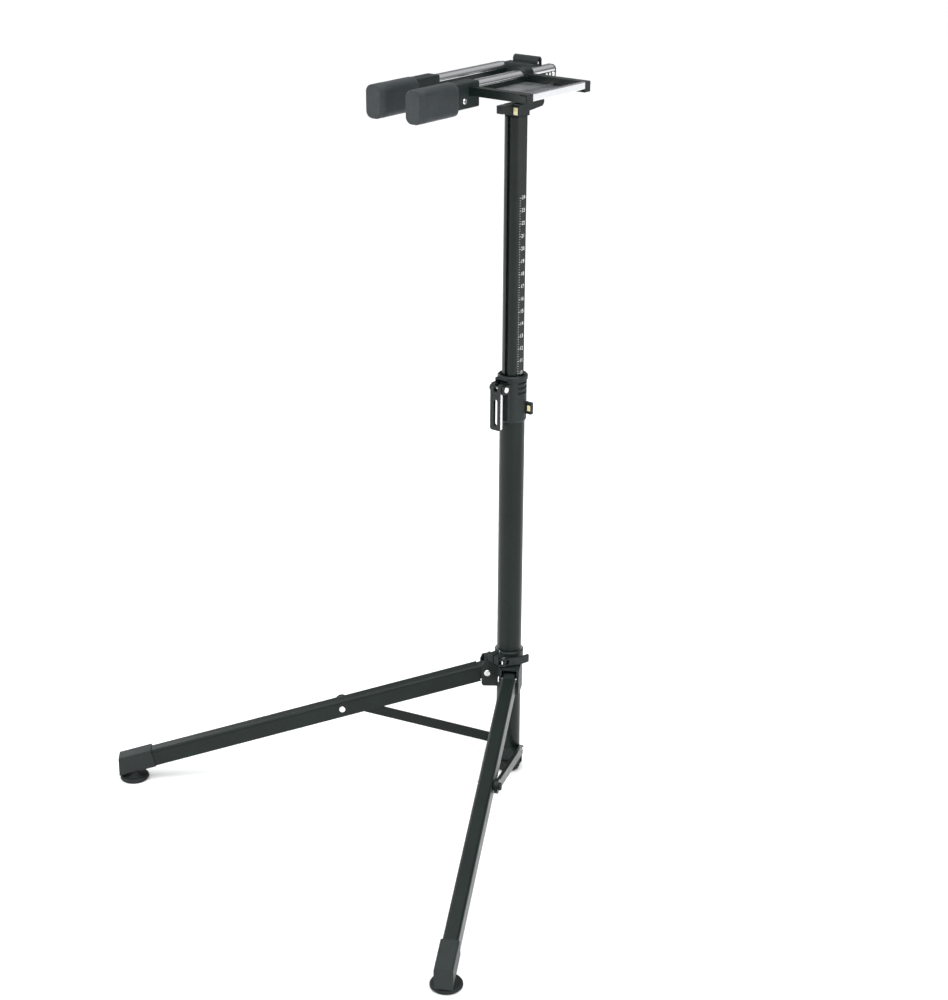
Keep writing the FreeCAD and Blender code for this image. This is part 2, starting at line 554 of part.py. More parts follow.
# ---- Head ---------------------------------------------------------------------------------------------
def make_head_hub():
    block = box(-13.5, 13.5, -11, 16, MAST_TOP, 1131)
    spigot = cyl_z(MAST_BORE_R, MAST_TOP - 40, MAST_TOP)
    stub = box(-9, 3, -37, -11, 1120, 1132)
    web_outline = [(10, 1119), (16, 1119), (51, 1122), (55, 1126), (55, FRAME_BOTTOM), (10, FRAME_BOTTOM)]
    web = prism_x(web_outline, -2, 12)
    pad_plate = box(-14, 30, 10, 70, FRAME_BOTTOM - 4, FRAME_BOTTOM)
    hub = fuse([block, spigot, stub, web, pad_plate])
    bolt_hole = cyl_z(3.0, 1060, 1134)
    add("head_hub", hub.cut(bolt_hole).cut(cyl_z(6.0, 1124, 1134)))
    bolt = fuse([cyl_z(3.0, MAST_TOP - 36, 1124), cyl_z(5.4, 1124, 1129)])
    add("hub_bolt", bolt.cut(cyl_z(2.2, 1126, 1130)))
    add("hub_label_plate", box(3.6, 11.0, -11.7, -11, 1116, 1127))


def rail_pair(prefix, centre_x, y1):
    """A bright half-round rail on a black channel, from the pad holder to y1."""
    x0, x1 = centre_x - RAIL_W / 2, centre_x + RAIL_W / 2
    top = box(x0, x1, ARM_FRONT, y1, RAIL_SPLIT, RAIL_TOP)
    upper = edges_along(top, AXIS_Y, RAIL_TOP - 1)
    add(prefix + "_rail", top.makeFillet(8.0, upper))
    channel = box(x0, x1, ARM_FRONT, y1, RAIL_BOTTOM, RAIL_SPLIT)
    hollow = box(x0 + 3, x1 - 3, ARM_FRONT - 1, min(y1, HOLLOW_END), RAIL_BOTTOM - 1, RAIL_SPLIT - 2.5)
    return channel.cut(hollow)


def make_pad(prefix, centre_x):
    """Rubber sleeve on the core of a holder, whose neck is bolted round the front of the arm."""
    core = rounded_bar_y(centre_x - CORE_W / 2, centre_x + CORE_W / 2, PAD_Z - CORE_H / 2, PAD_Z + CORE_H / 2,
                         PAD_FRONT + PAD_FLOOR, PAD_REAR, 6.0)
    neck = rounded_bar_y(centre_x - NECK_HALF, centre_x + NECK_HALF, NECK_BOTTOM, RAIL_TOP + 1.6,
                         PAD_REAR, NECK_END, 3.0)
    seat = box(centre_x - RAIL_W / 2, centre_x + RAIL_W / 2, ARM_FRONT, NECK_END + 1, RAIL_BOTTOM, RAIL_TOP)
    holder = fuse([core, neck]).cut(seat)
    shank = cyl_x(PAD_BOLT_R, centre_x - NECK_HALF, centre_x + NECK_HALF, PAD_BOLT_Y, PAD_BOLT_Z)
    add(prefix + "_pad_holder", holder.cut(shank))
    heads = []
    for side in (-1, 1):
        base = V(centre_x + side * NECK_HALF, PAD_BOLT_Y, PAD_BOLT_Z)
        heads.append(button_head(4.4, 2.4, base, V(side, 0, 0)))
    add(prefix + "_pad_bolt", fuse([shank] + heads))
    sleeve = rounded_bar_y(centre_x - PAD_W / 2, centre_x + PAD_W / 2, PAD_Z - PAD_H / 2, PAD_Z + PAD_H / 2,
                           PAD_FRONT, PAD_REAR, 11.0)
    add(prefix + "_arm_pad", sleeve.cut(core))


def make_fixed_arm():
    channel = rail_pair("fixed_arm", ARM_FIXED_X, ARM_REAR)
    x0, x1 = ARM_FIXED_X - RAIL_W / 2, ARM_FIXED_X + RAIL_W / 2
    for y in ROD_YS:
        channel = channel.cut(cyl_x(ROD_R, x0 - 1, x1 + 1, y, ROD_Z))
    add("fixed_arm_channel", channel)
    rods = [cyl_x(ROD_R, BLOCK_X[0] + 9, x1, y, ROD_Z) for y in ROD_YS]
    add("slide_rods", group(rods))
    plate = box(x0, x1, ARM_REAR, ARM_REAR + 3, RAIL_BOTTOM, RAIL_TOP)
    upper = edges_along(plate, AXIS_Y, RAIL_TOP - 1)
    add("fixed_arm_end_cap", plate.makeFillet(8.0, upper))
    make_pad("fixed", ARM_FIXED_X)


def make_moving_arm():
    add("moving_arm_channel", rail_pair("moving_arm", ARM_MOVING_X, BLOCK_Y[0]))
    block = box(BLOCK_X[0], BLOCK_X[1], BLOCK_Y[0], BLOCK_Y[1], BLOCK_Z[0], BLOCK_Z[1])
    edges = [e for e in block.Edges if e.CenterOfMass.z > BLOCK_Z[1] - 1]
    block = block.makeFillet(2.0, edges)
    flange_x = (ARM_MOVING_X - RAIL_W / 2, BLOCK_X[0] + 3)
    flange = box(flange_x[0], flange_x[1], BLOCK_Y[0], BLOCK_Y[1], RAIL_BOTTOM - 6, FLANGE_TOP)
    lug_x = (JL_X[0] + 10, JL_X[1] - 10)
    eye_r = 3.4
    eye_y = (JL_PIVOT_Y - eye_r, JL_PIVOT_Y + eye_r)
    shelf = box(lug_x[0], lug_x[1], BLOCK_Y[1] - 10, eye_y[1], 1142, BLOCK_Z[1] - 3)
    neck = box(lug_x[0], lug_x[1], eye_y[0], eye_y[1], BLOCK_Z[1] - 4, JL_PIVOT_Z)
    reliefs = [cyl_x(JL_RELIEF_R, JL_X[0] - 1, lug_x[0], JL_PIVOT_Y, JL_PIVOT_Z),
               cyl_x(JL_RELIEF_R, lug_x[1], BLOCK_X[1] + 1, JL_PIVOT_Y, JL_PIVOT_Z)]
    for relief in reliefs:
        block = block.cut(relief)
    # In front of the eye the block leaves room for the lever's front wall
    block = block.cut(box(lug_x[0] - 1, lug_x[1] + 1, JL_PIVOT_Y - JL_R - 1, BLOCK_Y[1] + 1, BLOCK_Z[1] - 3,
                          BLOCK_Z[1] + 1))
    block = fuse([block, flange, shelf, neck, cyl_x(eye_r, lug_x[0], lug_x[1], JL_PIVOT_Y, JL_PIVOT_Z)])
    for y in ROD_YS:
        block = block.cut(cyl_x(ROD_R + FIT, BLOCK_X[0] - 20, BLOCK_X[1] + 1, y, ROD_Z))
    block = block.cut(cyl_x(JL_PIN_R, lug_x[0] - 1, lug_x[1] + 1, JL_PIVOT_Y, JL_PIVOT_Z))
    screws = []
    seat_y = BLOCK_Y[1] - 4
    tip_y = BLOCK_Y[0] - 12
    for x in (ARM_MOVING_X - 6.0, ARM_MOVING_X + 3.0):
        hole = cyl_y(1.6, tip_y, BLOCK_Y[1] + 1, x, ARM_SCREW_Z)
        seat = cyl_y(2.7, seat_y, BLOCK_Y[1] + 1, x, ARM_SCREW_Z)
        block = block.cut(hole).cut(seat)
        NODES["moving_arm_rail"] = NODES["moving_arm_rail"].cut(hole)
        screws.append(fuse([cyl_y(1.6, tip_y, seat_y, x, ARM_SCREW_Z),
                            cyl_y(2.5, seat_y, BLOCK_Y[1] - 1, x, ARM_SCREW_Z)]))
    add("moving_arm_block", block)
    add("moving_arm_screws", group(screws))
    add("arm_lever_pin", cyl_x(JL_PIN_R, JL_X[0] + 2, JL_X[1] - 2, JL_PIVOT_Y, JL_PIVOT_Z))
    make_pad("moving", ARM_MOVING_X)


def make_arm_lever():
    """Inverted U handle with deep side walls, whose end ribs turn on the pin."""
    x0, x1 = JL_X
    centre_z = JL_PIVOT_Z + 3.5
    bottom = JL_PIVOT_Z - JL_DROP
    inner_r = JL_R - JL_WALL
    outer = fuse([cyl_x(JL_R, x0, x1, JL_PIVOT_Y, centre_z),
                  box(x0, x1, JL_PIVOT_Y - JL_R, JL_PIVOT_Y + JL_R, bottom, centre_z)])
    inner = fuse([cyl_x(inner_r, x0 - 1, x1 + 1, JL_PIVOT_Y, centre_z),
                  box(x0 - 1, x1 + 1, JL_PIVOT_Y - inner_r, JL_PIVOT_Y + inner_r, bottom - 1, centre_z)])
    handle = outer.cut(inner)
    ribs = []
    rib_y = (JL_PIVOT_Y - inner_r - 0.5, JL_PIVOT_Y + inner_r + 0.5)
    for x in (x0 + 3, x1 - 6):
        ribs.append(box(x, x + 3, rib_y[0], rib_y[1], JL_PIVOT_Z - 3.5, centre_z + 3))
    # The walls stop above the eye in the middle, where the block's shelf is
    eye_x = (x0 + 9, x1 - 9)
    front_notch = box(eye_x[0], eye_x[1], JL_PIVOT_Y - JL_R - 1, JL_PIVOT_Y, bottom - 1, JL_PIVOT_Z - 1.6)
    rear_notch = box(eye_x[0], eye_x[1], JL_PIVOT_Y, JL_PIVOT_Y + JL_R + 1, bottom - 1, centre_z + 1.5)
    lever = fuse([handle] + ribs).cut(front_notch).cut(rear_notch)
    lever = lever.cut(cyl_x(JL_PIN_R + FIT, x0, x1, JL_PIVOT_Y, JL_PIVOT_Z))
    add("arm_lever", lever)


def make_tray_frame():
    left = ARM_FIXED_X + RAIL_W / 2
    front0, front1 = BAR_FRONT_Y
    rear0, rear1 = BAR_REAR_Y
    front = box(ARM_FIXED_X + NECK_HALF, FRAME_RIGHT, front0, front1, FRAME_BOTTOM, FRAME_TOP)
    # Square plug that covers the side bar's front screw
    plug_y1 = front0 + 6
    plug_seat = box(53, 67, front0 - 1, plug_y1, FRAME_BOTTOM + 1.5, FRAME_TOP - 1.5)
    add("frame_bar_front", front.cut(plug_seat))
    add("frame_bar_plug", box(53.5, 66.5, front0 - 0.8, plug_y1, FRAME_BOTTOM + 1.5, FRAME_TOP - 2.5))

    # Rear bar with a strap that arches over the fixed arm
    arch_x0, arch_x1 = ARM_FIXED_X - RAIL_W / 2 - STRAP_WALL, left + STRAP_WALL
    arch = box(arch_x0, arch_x1, rear0 - STRAP_OVERHANG, rear1 + STRAP_OVERHANG, RAIL_BOTTOM - 4,
               RAIL_TOP + STRAP_WALL)
    crown = edges_along(arch, AXIS_Y, RAIL_TOP)
    arch = arch.makeFillet(9.0, crown)
    rear = fuse([arch, box(left, FRAME_RIGHT, rear0, rear1, FRAME_BOTTOM - 3, FRAME_TOP)])
    passage = box(ARM_FIXED_X - RAIL_W / 2, left, rear0 - 3, rear1 + 3, RAIL_BOTTOM, RAIL_TOP)
    passage_top = edges_along(passage, AXIS_Y, RAIL_TOP - 1)
    add("frame_bar_rear", rear.cut(passage.makeFillet(8.0, passage_top)))

    bar_x0 = FRAME_RIGHT - SIDE_BAR_W
    side = rounded_bar_y(bar_x0, FRAME_RIGHT, FRAME_BOTTOM + 2, FRAME_TOP, front1, rear0, 1.2)
    bar_x, bar_z = FRAME_RIGHT - SIDE_BAR_W / 2, (FRAME_BOTTOM + 2 + FRAME_TOP) / 2
    front_shank = cyl_y(SCREW_R, plug_y1, front1 + 14, bar_x, bar_z)
    rear_shank = cyl_y(SCREW_R, rear0 - 14, rear1, bar_x, bar_z)
    side = side.cut(front_shank).cut(rear_shank)
    NODES["frame_bar_front"] = NODES["frame_bar_front"].cut(front_shank)
    NODES["frame_bar_rear"] = NODES["frame_bar_rear"].cut(rear_shank)
    FRAME_SCREWS.append(front_shank)
    FRAME_SCREWS.append(fuse([rear_shank, screw_head(V(bar_x, rear1, bar_z), V(0, 1, 0))]))
    add("frame_side_bar", side)

    floor_top = FRAME_BOTTOM + FLOOR_T
    floor_y1 = rear0 - STRAP_OVERHANG
    plates = {}
    floor_x0 = ARM_FIXED_X + NECK_HALF + GAP
    for name, x0, x1 in (("left", floor_x0, FLOOR_SPLIT_X), ("right", FLOOR_SPLIT_X + 1, bar_x0)):
        plate = box(x0, x1, front1, floor_y1, FRAME_BOTTOM, floor_top)
        lip = box(x1 - 1.4, x1, front1, floor_y1, FRAME_BOTTOM, floor_top + 3)
        plates[name] = fuse([plate, lip])
    for x, y in ((-8.0, 22.0), (-8.0, 60.0), (24.0, 22.0), (24.0, 60.0)):
        shank = cyl_z(SCREW_R, FRAME_BOTTOM - 4, floor_top - 0.5, x, y)
        NODES["head_hub"] = NODES["head_hub"].cut(shank)
        name = "left" if x < FLOOR_SPLIT_X else "right"
        plates[name] = plates[name].cut(shank)
        FRAME_SCREWS.append(fuse([shank, screw_head(V(x, y, FRAME_BOTTOM - 4), V(0, 0, -1))]))
    add("tray_floor", group(list(plates.values())))

    shank = cyl_x(SCREW_R, ARM_FIXED_X - 4, left, ARM_REAR - 5, ROD_Z)
    NODES["fixed_arm_channel"] = NODES["fixed_arm_channel"].cut(shank)
    FRAME_SCREWS.append(fuse([shank, screw_head(V(left, ARM_REAR - 5, ROD_Z), V(1, 0, 0))]))
    # Screw up through the rear strap, and one across the pad holder's neck into the front bar
    under, rear_y = RAIL_BOTTOM - 4, sum(BAR_REAR_Y) / 2
    shank = cyl_z(SCREW_R, under, RAIL_BOTTOM + 14, ARM_FIXED_X, rear_y)
    for node in ("frame_bar_rear", "fixed_arm_channel", "fixed_arm_rail"):
        NODES[node] = NODES[node].cut(shank)
    FRAME_SCREWS.append(fuse([shank, screw_head(V(ARM_FIXED_X, rear_y, under), V(0, 0, -1))]))
    neck_x, front_y = ARM_FIXED_X - NECK_HALF, sum(BAR_FRONT_Y) / 2
    shank = cyl_x(SCREW_R, neck_x, left + 16, front_y, ROD_Z)
    for node in ("fixed_pad_holder", "fixed_arm_channel", "frame_bar_front"):
        NODES[node] = NODES[node].cut(shank)
    FRAME_SCREWS.append(fuse([shank, screw_head(V(neck_x, front_y, ROD_Z), V(-1, 0, 0))]))


# ---- Build --------------------------------------------------------------------------------------------
make_mast_base()
make_upper_mast()
make_height_collar()
make_height_lever()
make_leg_collar()
make_qr_lever()
for side_name in leg_azimuths():
    make_leg(side_name)
    make_brace(side_name)
make_head_hub()
make_fixed_arm()
make_moving_arm()
make_arm_lever()
make_tray_frame()
add("tube_screws", group(TUBE_SCREWS))
add("frame_screws", group(FRAME_SCREWS))

os.makedirs("parts", exist_ok=True)
for node_name, node_shape in NODES.items():
    node_shape.exportStep("parts/" + node_name + ".step")
    volume_cm3 = round(node_shape.Volume / 1000.0, 2)
    print(node_name, len(node_shape.Solids), node_shape.isValid(), volume_cm3, "cm3")
print(len(NODES), "nodes")
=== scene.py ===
"""Looks for the folding bike repair stand: materials, rubber pads, the mast's scale, studio and camera."""
import bpy
import json
import math
from mathutils import Matrix, Vector


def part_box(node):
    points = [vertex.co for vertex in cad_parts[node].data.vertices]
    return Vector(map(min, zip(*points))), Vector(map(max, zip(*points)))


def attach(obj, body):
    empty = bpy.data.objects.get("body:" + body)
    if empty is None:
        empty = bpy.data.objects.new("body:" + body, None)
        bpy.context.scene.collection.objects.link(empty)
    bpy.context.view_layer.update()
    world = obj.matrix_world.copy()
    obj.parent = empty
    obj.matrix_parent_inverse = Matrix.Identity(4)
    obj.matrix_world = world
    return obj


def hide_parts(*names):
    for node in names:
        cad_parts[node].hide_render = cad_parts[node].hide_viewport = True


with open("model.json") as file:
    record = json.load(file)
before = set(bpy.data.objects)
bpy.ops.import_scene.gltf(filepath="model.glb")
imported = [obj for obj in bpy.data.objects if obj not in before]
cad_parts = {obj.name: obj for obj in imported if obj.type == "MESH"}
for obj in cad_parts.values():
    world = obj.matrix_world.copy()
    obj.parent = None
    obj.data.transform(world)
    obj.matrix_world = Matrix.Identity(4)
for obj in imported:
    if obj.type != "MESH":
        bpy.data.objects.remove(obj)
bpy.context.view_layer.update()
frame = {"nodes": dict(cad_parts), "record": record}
MM = 0.001                    # small sizes are written in millimetres


# ---- Node helpers --------------------------------------------------------------------------------------
class Tree:
    """A material's node tree with short calls for the nodes that the finishes share."""

    def __init__(self, name):
        self.material = bpy.data.materials.new(name)
        self.material.use_nodes = True
        self.nodes = self.material.node_tree.nodes
        self.links = self.material.node_tree.links
        self.shader = self.nodes["Principled BSDF"]
        self.coords = self.nodes.new("ShaderNodeTexCoord").outputs["Object"]

    def link(self, source, target):
        self.links.new(source, target)

    def stretched(self, scale):
        node = self.nodes.new("ShaderNodeMapping")
        node.inputs["Scale"].default_value = scale
        self.link(self.coords, node.inputs["Vector"])
        return node.outputs["Vector"]

    def noise(self, scale, detail=3.0, vector=None, roughness=0.55):
        node = self.nodes.new("ShaderNodeTexNoise")
        node.inputs["Scale"].default_value = scale
        node.inputs["Detail"].default_value = detail
        node.inputs["Roughness"].default_value = roughness
        self.link(vector or self.coords, node.inputs["Vector"])
        return node.outputs["Fac"]

    def cells(self, scale):
        node = self.nodes.new("ShaderNodeTexVoronoi")
        node.inputs["Scale"].default_value = scale
        self.link(self.coords, node.inputs["Vector"])
        return node.outputs["Distance"]

    def span(self, value, low, high, out_low, out_high):
        """Maps low..high of a value to out_low..out_high, clamped."""
        node = self.nodes.new("ShaderNodeMapRange")
        node.inputs["From Min"].default_value = low
        node.inputs["From Max"].default_value = high
        node.inputs["To Min"].default_value = out_low
        node.inputs["To Max"].default_value = out_high
        self.link(value, node.inputs["Value"])
        return node.outputs["Result"]

    def calc(self, operation, a, b):
        node = self.nodes.new("ShaderNodeMath")
        node.operation = operation
        for socket, value in zip(node.inputs, (a, b)):
            if isinstance(value, (int, float)):
                socket.default_value = value
            else:
                self.link(value, socket)
        return node.outputs["Value"]

    def blend(self, factor, colour_a, colour_b):
        node = self.nodes.new("ShaderNodeMix")
        node.data_type = "RGBA"
        self.link(factor, node.inputs["Factor"])
        for socket, colour in ((node.inputs[6], colour_a), (node.inputs[7], colour_b)):
            if isinstance(colour, tuple):
                socket.default_value = (*colour, 1.0)
            else:
                self.link(colour, socket)
        return node.outputs[2]

    def rounded_normal(self, radius):
        node = self.nodes.new("ShaderNodeBevel")
        node.samples = 4
        node.inputs["Radius"].default_value = radius
        return node.outputs["Normal"]

    def edge_mask(self, rounded):
        """1 on convex and concave edges, 0 on open faces."""
        geometry = self.nodes.new("ShaderNodeNewGeometry")
        dot = self.nodes.new("ShaderNodeVectorMath")
        dot.operation = "DOT_PRODUCT"
        self.link(rounded, dot.inputs[0])
        self.link(geometry.outputs["Normal"], dot.inputs[1])
        return self.span(dot.outputs["Value"], 0.995, 0.8, 0.0, 1.0)

    def bump(self, height, distance, strength, normal):
        node = self.nodes.new("ShaderNodeBump")
        node.inputs["Distance"].default_value = distance
        node.inputs["Strength"].default_value = strength
        self.link(height, node.inputs["Height"])
        self.link(normal, node.inputs["Normal"])
        return node.outputs["Normal"]


def scaled(colour, factor):
    return tuple(min(1.0, c * factor) for c in colour)


# Noise scales, in features per metre, that every finish shares
CLOUD_SCALE, SPECK_SCALE, WEAR_SCALE, SMUDGE_SCALE = 14.0, 220.0, 160.0, 30.0
CLOUD_SHARE = 0.65            # of the colour's variation, and the specks make up the rest
WORN_BRIGHTER = 2.2           # worn edges are this many times brighter if no colour is given
BUMP_STRENGTH = 0.6


def finish_material(name, colour, metallic=0.0, roughness=(0.35, 0.5), grain=900.0, grain_depth=0.00002,
                    streak=None, cell=None, worn=None, wear=0.3, spread=0.25, bevel=0.0005,
                    specular=0.5, sheen=0.0):
    """One finish: two-scale colour variation, grain or streaks in bump and roughness, and worn edges.

    The fine structure is streaks if streak is given, cells if cell is given, and grain otherwise.
    """
    t = Tree(name)
    rounded = t.rounded_normal(bevel)
    edges = t.edge_mask(rounded)
    cloud = t.noise(CLOUD_SCALE, 4.0)
    speck = t.noise(SPECK_SCALE, 3.0)
    mixed = t.calc("ADD", t.calc("MULTIPLY", cloud, CLOUD_SHARE),
                   t.calc("MULTIPLY", speck, 1.0 - CLOUD_SHARE))
    mottle = t.span(mixed, 0.36, 0.64, 0.0, 1.0)
    base = t.blend(mottle, scaled(colour, 1.0 - spread), scaled(colour, 1.0 + spread))
    breakup = t.span(t.noise(WEAR_SCALE, 5.0), 0.46, 0.62, 0.0, 1.0)
    wear_mask = t.calc("MULTIPLY", t.calc("MULTIPLY", edges, breakup), wear)
    base = t.blend(wear_mask, base, worn or scaled(colour, WORN_BRIGHTER))
    t.link(base, t.shader.inputs["Base Color"])

    if streak:
        fine = t.noise(1.0, 4.0, t.stretched(streak))
    elif cell:
        fine = t.cells(cell)
    else:
        fine = t.noise(grain, 4.0)
    smudge = t.noise(SMUDGE_SCALE, 4.0)
    rough = t.calc("ADD", t.calc("MULTIPLY", fine, 0.5), t.calc("MULTIPLY", smudge, 0.5))
    t.link(t.span(rough, 0.3, 0.7, roughness[0], roughness[1]), t.shader.inputs["Roughness"])
    t.link(t.bump(fine, grain_depth, BUMP_STRENGTH, rounded), t.shader.inputs["Normal"])
    t.shader.inputs["Metallic"].default_value = metallic
    t.shader.inputs["Specular IOR Level"].default_value = specular
    t.shader.inputs["Sheen Weight"].default_value = sheen
    return t.material


# Streak scales are along X, Y and Z: the small number is the direction that the lines run in
ALONG_Z = (2600.0, 2600.0, 5.0)
ALONG_Y = (2600.0, 5.0, 2600.0)
ALONG_X = (5.0, 2600.0, 2600.0)
GREY_WORN = (0.085, 0.09, 0.09)
BARE_METAL = (0.55, 0.55, 0.54)

FINISHES = {
    "black_tube": dict(colour=(0.0045, 0.0090, 0.0076), roughness=(0.28, 0.40), grain=1100.0, specular=0.22,
                       worn=GREY_WORN),
    "black_profile": dict(colour=(0.0050, 0.0090, 0.0078), roughness=(0.24, 0.36), streak=ALONG_Z,
                          specular=0.26, grain_depth=0.000012, worn=BARE_METAL, wear=0.15),
    "black_plastic": dict(colour=(0.0090, 0.0140, 0.0132), roughness=(0.40, 0.54), cell=1500.0, specular=0.27,
                          grain_depth=0.00003, worn=GREY_WORN, wear=0.3, bevel=0.0008),
    "pad_rubber": dict(colour=(0.0160, 0.0210, 0.0225), roughness=(0.50, 0.66), cell=1900.0, specular=0.30,
                       grain_depth=0.00004, worn=(0.07, 0.075, 0.078), wear=0.4, sheen=0.06, bevel=0.001),
    "foot_rubber": dict(colour=(0.0060, 0.0090, 0.0084), roughness=(0.5, 0.7), cell=1700.0, specular=0.25,
                        grain_depth=0.00005, worn=GREY_WORN, wear=0.4, bevel=0.0009),
    "bright_rail": dict(colour=(0.86, 0.87, 0.88), metallic=1.0, roughness=(0.10, 0.24), streak=ALONG_Y,
                        grain_depth=0.000008, spread=0.04, worn=(0.7, 0.7, 0.7), wear=0.4),
    "tray_metal": dict(colour=(0.66, 0.68, 0.69), metallic=1.0, roughness=(0.22, 0.38), streak=ALONG_Y,
                       grain_depth=0.00001, spread=0.05, worn=(0.5, 0.5, 0.5), wear=0.4, bevel=0.0003),
    "steel_fastener": dict(colour=(0.80, 0.80, 0.78), metallic=1.0, roughness=(0.14, 0.30), grain=1600.0,
                           grain_depth=0.000006, spread=0.06, worn=(0.45, 0.43, 0.40), bevel=0.0003),
    "cream_plate": dict(colour=(0.80, 0.72, 0.42), roughness=(0.25, 0.4), grain=1300.0, spread=0.06,
                        wear=0.1),
    "liner_plastic": dict(colour=(0.55, 0.55, 0.52), roughness=(0.4, 0.55), grain=1200.0, spread=0.06,
                          wear=0.1),
}
materials = {slot: finish_material(slot, **look) for slot, look in FINISHES.items()}

# The bars of the tray frame and the arms run along other axes than the mast
materials["profile_y"] = finish_material("profile_y", **{**FINISHES["black_profile"], "streak": ALONG_Y})
materials["profile_x"] = finish_material("profile_x", **{**FINISHES["black_profile"], "streak": ALONG_X})
NODE_LOOKS = {
    "fixed_arm_channel": "profile_y",
    "moving_arm_channel": "profile_y",
    "frame_bar_front": "profile_x",
    "frame_bar_rear": "profile_x",
}

for part in frame["record"]["subparts"]:
    node = part["node"]
    look = materials[NODE_LOOKS.get(node, part["material_slot"])]
    mesh = frame["nodes"][node].data
    if not mesh.materials:
        mesh.materials.append(look)
    for index in range(len(mesh.materials)):
        mesh.materials[index] = look


# ---- Rubber pads ---------------------------------------------------------------------------------------
def new_object(name, vertices, faces, material):
    mesh = bpy.data.meshes.new(name)
    mesh.from_pydata(vertices, [], faces)
    mesh.validate()
    mesh.update()
    obj = bpy.data.objects.new(name, mesh)
    bpy.context.scene.collection.objects.link(obj)
    mesh.materials.append(material)
    return obj


def rounded_rectangle(half_w, half_h, radius, corner_steps=10, side_steps=6):
    """Points round a rectangle with rounded corners, anticlockwise, with the same count for any size."""
    radius = min(radius, half_w - 0.00001, half_h - 0.00001)
    corners = ((1, 1, 0), (-1, 1, 90), (-1, -1, 180), (1, -1, 270))
    arcs = []
    for sx, sz, start in corners:
        cx, cz = sx * (half_w - radius), sz * (half_h - radius)
        arc = []
        for i in range(corner_steps + 1):
            a = math.radians(start + 90.0 * i / corner_steps)
            arc.append((cx + radius * math.cos(a), cz + radius * math.sin(a)))
        arcs.append(arc)
    points = []
    for index, arc in enumerate(arcs):
        points += arc
        x0, z0 = arc[-1]
        x1, z1 = arcs[(index + 1) % 4][0]
        for i in range(1, side_steps):
            f = i / side_steps
            points.append((x0 + (x1 - x0) * f, z0 + (z1 - z0) * f))
    return points


# The outline along a pad, as pairs of distance behind its front face and inset of the outline, in mm
CROWN = [(0.35, 7.0), (0.2, 4.6), (0.15, 3.2), (0.3, 1.9), (0.9, 0.8), (1.8, 0.25), (3.0, 0.12)]
MOULD_LINE = [(4.6, 0.12), (4.9, 0.45), (5.3, 0.45), (5.6, 0.12)]
SLEEVE_SIDES = [(20.0, 0.0), (45.0, 0.15), (70.0, 0.0), (84.0, 0.1)]
REAR_LIP = [(86.0, 0.1), (86.3, 0.5), (87.0, 0.5), (87.3, 0.15), (88.6, 0.2), (89.6, 0.7), (90.0, 1.6)]
CROWN_CENTRE = 0.45           # the front face's middle is this far behind the foremost point of the rim
PAD_CORNER = 11.0
CORE_HALF_W, CORE_HALF_H, CORE_CORNER = 10.05, 17.55, 6.0
CORE_FRONT = 3.95             # the holder's core starts this far behind the pad's front face
BORE_RINGS = (89.9, 88.5, 40.0, CORE_FRONT)


def make_pad(name, cad_node, body):
    """Moulded rubber sleeve: crowned end face, soft rim, a mould line and a rolled rear lip over the core."""
    low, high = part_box(cad_node)
    centre_x, centre_z = (low.x + high.x) / 2, (low.z + high.z) / 2
    half_w, half_h = (high.x - low.x) / 2, (high.z - low.z) / 2
    length = high.y - low.y
    rings = []
    for distance, inset in CROWN + MOULD_LINE + SLEEVE_SIDES + REAR_LIP:
        y = low.y + min(distance * MM, length)
        outline = rounded_rectangle(half_w - inset * MM, half_h - inset * MM, PAD_CORNER * MM - inset * MM)
        rings.append([(x, y, z) for x, z in outline])
    for distance in BORE_RINGS:
        y = low.y + min(distance * MM, length)
        outline = rounded_rectangle(CORE_HALF_W * MM, CORE_HALF_H * MM, CORE_CORNER * MM)
        rings.append([(x, y, z) for x, z in outline])

    count = len(rings[0])
    last = len(rings) - 1
    vertices = [(centre_x + x, y, centre_z + z) for ring in rings for x, y, z in ring]
    faces = []
    for r in range(last):
        for i in range(count):
            j = (i + 1) % count
            faces.append((r * count + i, (r + 1) * count + i, (r + 1) * count + j, r * count + j))
    for r, distance in ((0, CROWN_CENTRE), (last, CORE_FRONT)):
        hub = len(vertices)
        vertices.append((centre_x, low.y + distance * MM, centre_z))
        for i in range(count):
            j = (i + 1) % count
            a, b = r * count + i, r * count + j
            faces.append((hub, a, b) if r == 0 else (hub, b, a))

    pad = new_object(name, vertices, faces, materials["pad_rubber"])
    for polygon in pad.data.polygons:
        polygon.use_smooth = True
    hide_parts(cad_node)
    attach(pad, body)


make_pad("fixed_pad_sleeve", "fixed_arm_pad", "upper_mast")
make_pad("moving_pad_sleeve", "moving_arm_pad", "moving_arm")


# ---- Scale on the mast's right-hand flat ---------------------------------------------------------------
def add_quad_prism(vertices, faces, x0, x1, y0, y1, z0, z1):
    base = len(vertices)
    for x in (x0, x1):
        vertices += [(x, y0, z0), (x, y1, z0), (x, y1, z1), (x, y0, z1)]
    for a, b, c, d in ((0, 3, 2, 1), (4, 5, 6, 7), (0, 1, 5, 4), (1, 2, 6, 5), (2, 3, 7, 6), (3, 0, 4, 7)):
        faces.append((base + a, base + b, base + c, base + d))


def digits_mesh(text, size, thickness):
    """The mesh of a short number, drawn in its own XY plane."""
    curve = bpy.data.curves.new("digits", "FONT")
    curve.body = text
    curve.size = size
    curve.extrude = thickness / 2
    curve.align_x = "CENTER"
    curve.align_y = "CENTER"
    curve.resolution_u = 4
    obj = bpy.data.objects.new("digits", curve)
    bpy.context.scene.collection.objects.link(obj)
    bpy.context.view_layer.update()
    mesh = bpy.data.meshes.new_from_object(obj.evaluated_get(bpy.context.evaluated_depsgraph_get()))
    bpy.data.objects.remove(obj)
    bpy.data.curves.remove(curve)
    return mesh


